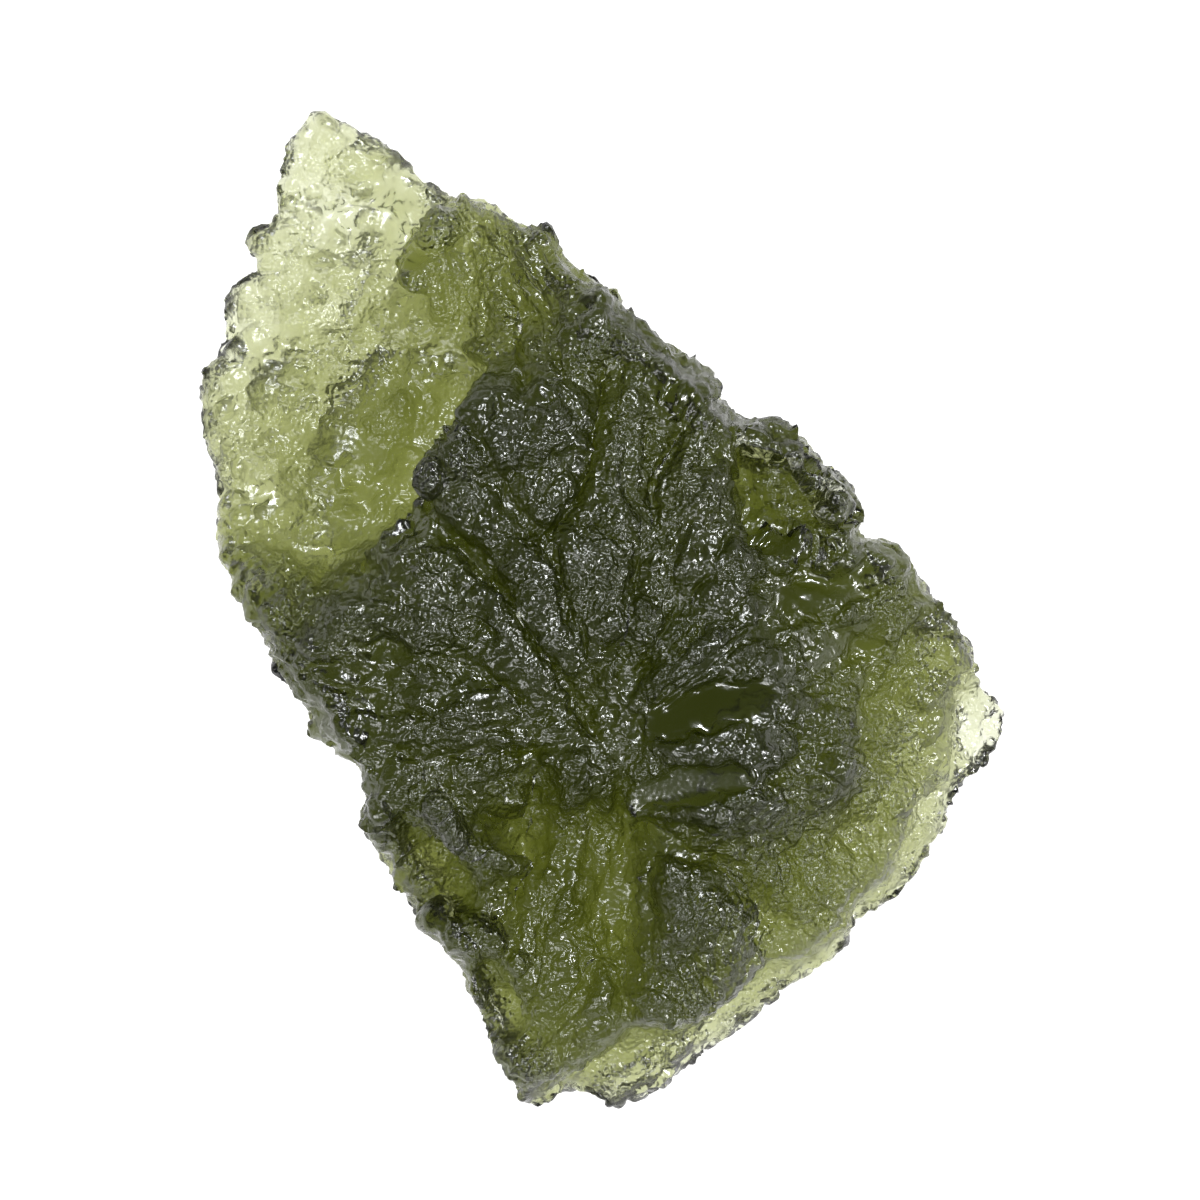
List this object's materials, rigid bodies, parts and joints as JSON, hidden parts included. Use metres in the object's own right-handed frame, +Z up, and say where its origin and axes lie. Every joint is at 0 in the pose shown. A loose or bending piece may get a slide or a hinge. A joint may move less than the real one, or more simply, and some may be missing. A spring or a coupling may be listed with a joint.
{
  "type": "moldavite",
  "caption": "A flat wedge of see-through olive green natural glass with a deeply etched, ribbed top, a thin pale shelf and thin pale ledges. It lies on its flatter side.",
  "frame": {"origin": "on the resting plane, under the middle of the stone's bounding box", "axes": "+Z up out of the ribbed top, +Y along the stone's length towards the thin tip's end, +X to the right seen from above"},
  "size_m": [0.0292, 0.0362, 0.01],
  "materials": {
    "moldavite_glass": "etched natural glass, clear where thin and nearly black where thick"
  },
  "bodies": {
    "root": {"moldavite": "moldavite_glass"}
  },
  "joints": []
}
